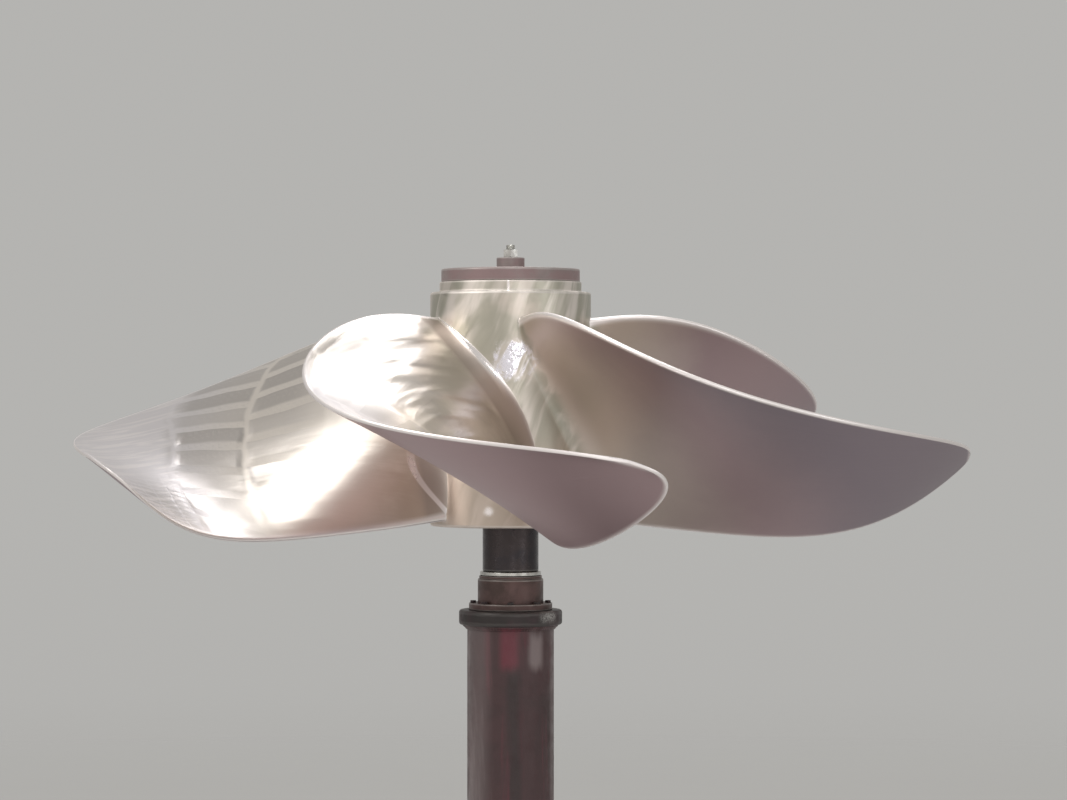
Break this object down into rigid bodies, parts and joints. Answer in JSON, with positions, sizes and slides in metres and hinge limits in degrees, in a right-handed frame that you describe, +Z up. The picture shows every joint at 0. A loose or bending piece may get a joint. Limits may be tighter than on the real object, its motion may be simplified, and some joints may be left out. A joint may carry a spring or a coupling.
{
  "type": "ship propeller on a turning work stand",
  "caption": "Left-handed skewed-blade bronze ship propeller, clamped hub upward on a turning mandrel at the top of a steel post with a flat foot plate.",
  "frame": {"origin": "on the floor under the axis of the post, in the underside of the foot plate", "axes": "+Z up along the axis of the post and the propeller; +X to the right and +Y away from someone who looks at the pictured front"},
  "size_m": [1.5321, 1.532, 1.8074],
  "materials": {
    "ground_bronze": "freshly ground and part polished, with grinder strokes",
    "red_brown_steel": "dull red-brown primer, scuffed",
    "bright_steel": "bright machined steel, slightly dulled",
    "black_steel": "oiled near-black steel",
    "rusty_steel": "brown, lightly rusted steel",
    "dark_steel": "dark greenish-brown oxidised steel",
    "worn_red_paint": "worn red-oxide paint with pale rubbed patches"
  },
  "bodies": {
    "stand": {"base_plate": "worn_red_paint", "gusset_1": "worn_red_paint", "gusset_2": "worn_red_paint", "gusset_3": "worn_red_paint", "gusset_4": "worn_red_paint", "anchor_bolt_1": "dark_steel", "anchor_bolt_2": "dark_steel", "anchor_bolt_3": "dark_steel", "anchor_bolt_4": "dark_steel", "post_tube": "worn_red_paint", "head_flange": "dark_steel", "bearing_housing": "rusty_steel", "bearing_race": "rusty_steel"},
    "propeller": {"propeller_casting": "ground_bronze", "clamp_plate": "red_brown_steel", "clamp_spacer": "red_brown_steel", "clamp_nut": "bright_steel", "clamp_stud": "bright_steel", "mandrel": "black_steel", "thrust_washer": "bright_steel"}
  },
  "joints": [
    {"name": "propeller_turn", "type": "hinge", "parent": "stand", "child": "propeller", "pos_m": [0, 0, 1.2284], "axis": [0, 0, 1], "continuous": true}
  ]
}
